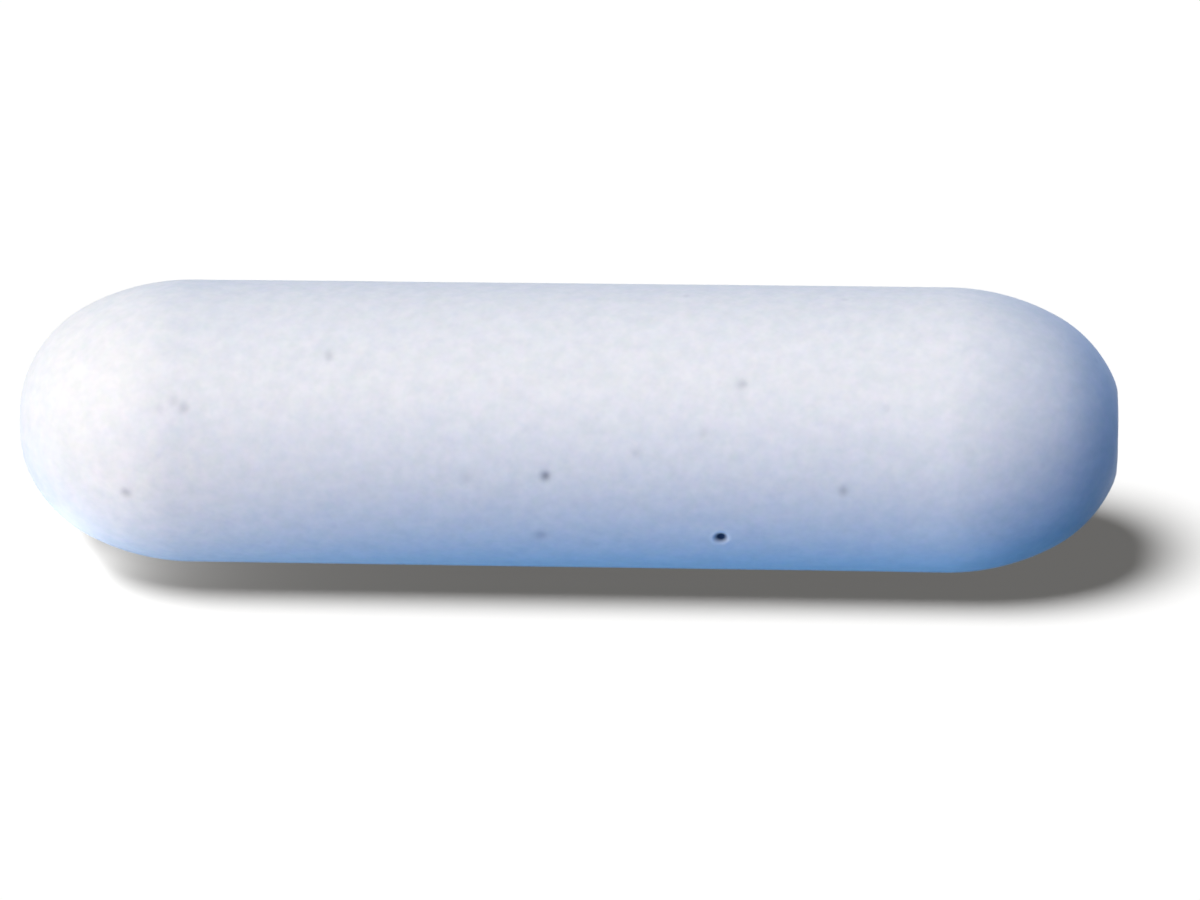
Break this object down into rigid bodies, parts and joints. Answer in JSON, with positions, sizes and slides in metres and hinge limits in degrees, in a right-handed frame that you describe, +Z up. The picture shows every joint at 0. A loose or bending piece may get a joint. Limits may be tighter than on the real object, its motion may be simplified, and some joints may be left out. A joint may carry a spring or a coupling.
{
  "type": "magnetic stir bar",
  "caption": "Round-ended bar magnet sealed in smooth white PTFE, spun by a magnetic stirrer to mix the liquid in a vessel.",
  "frame": {"origin": "middle of the bar, on its axis", "axes": "+X along the bar, which is also the way that it is magnetised; +Z is up, the axis that the bar spins about in a vessel"},
  "size_m": [0.0308, 0.008, 0.008],
  "materials": {
    "ptfe": "satin",
    "alnico": "satin"
  },
  "bodies": {
    "root": {"jacket": "ptfe", "magnet": "alnico"}
  },
  "joints": []
}
